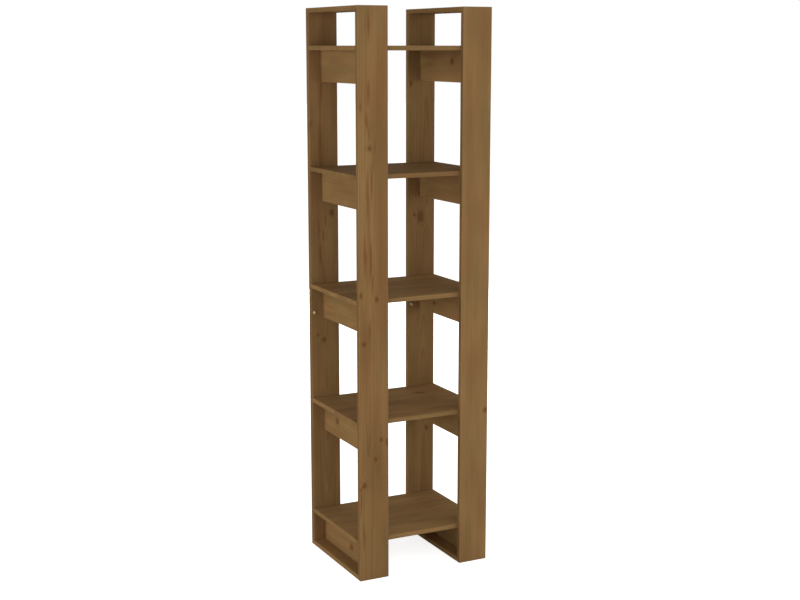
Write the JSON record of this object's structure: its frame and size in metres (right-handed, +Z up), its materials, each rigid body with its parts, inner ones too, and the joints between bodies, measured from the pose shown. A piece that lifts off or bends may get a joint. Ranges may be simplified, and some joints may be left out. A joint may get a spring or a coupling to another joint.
{
  "type": "open bookcase",
  "caption": "Tall narrow open bookcase in stained pine: ring frames of planks, rails and aprons carry full-width shelves, open on every side to stand as a room divider.",
  "frame": {"origin": "on the floor under the middle of the bookcase", "axes": "+Z up, +X to the right seen from the front, +Y to the back; the front uprights face -Y"},
  "size_m": [0.41, 0.35, 1.6],
  "materials": {
    "upright_pine": "satin honey-brown stain and lacquer",
    "rail_pine": "satin honey-brown stain and lacquer",
    "apron_pine": "satin honey-brown stain and lacquer",
    "shelf_pine": "satin honey-brown stain and lacquer",
    "dowel_beech": "bare",
    "screw_nickel": "bright nickel plate"
  },
  "bodies": {
    "root": {"upright_front_left": "upright_pine", "upright_rear_left": "upright_pine", "upright_front_right": "upright_pine", "upright_rear_right": "upright_pine", "rail_bottom_left": "rail_pine", "rail_top_left": "rail_pine", "rail_bottom_right": "rail_pine", "rail_top_right": "rail_pine", "apron_left_1": "apron_pine", "apron_left_2": "apron_pine", "apron_left_3": "apron_pine", "apron_left_4": "apron_pine", "apron_left_5": "apron_pine", "apron_right_1": "apron_pine", "apron_right_2": "apron_pine", "apron_right_3": "apron_pine", "apron_right_4": "apron_pine", "apron_right_5": "apron_pine", "shelf_1": "shelf_pine", "shelf_2": "shelf_pine", "shelf_3": "shelf_pine", "shelf_4": "shelf_pine", "shelf_5": "shelf_pine", "shelf_dowels": "dowel_beech", "rear_fixing_screws": "screw_nickel"}
  },
  "joints": []
}
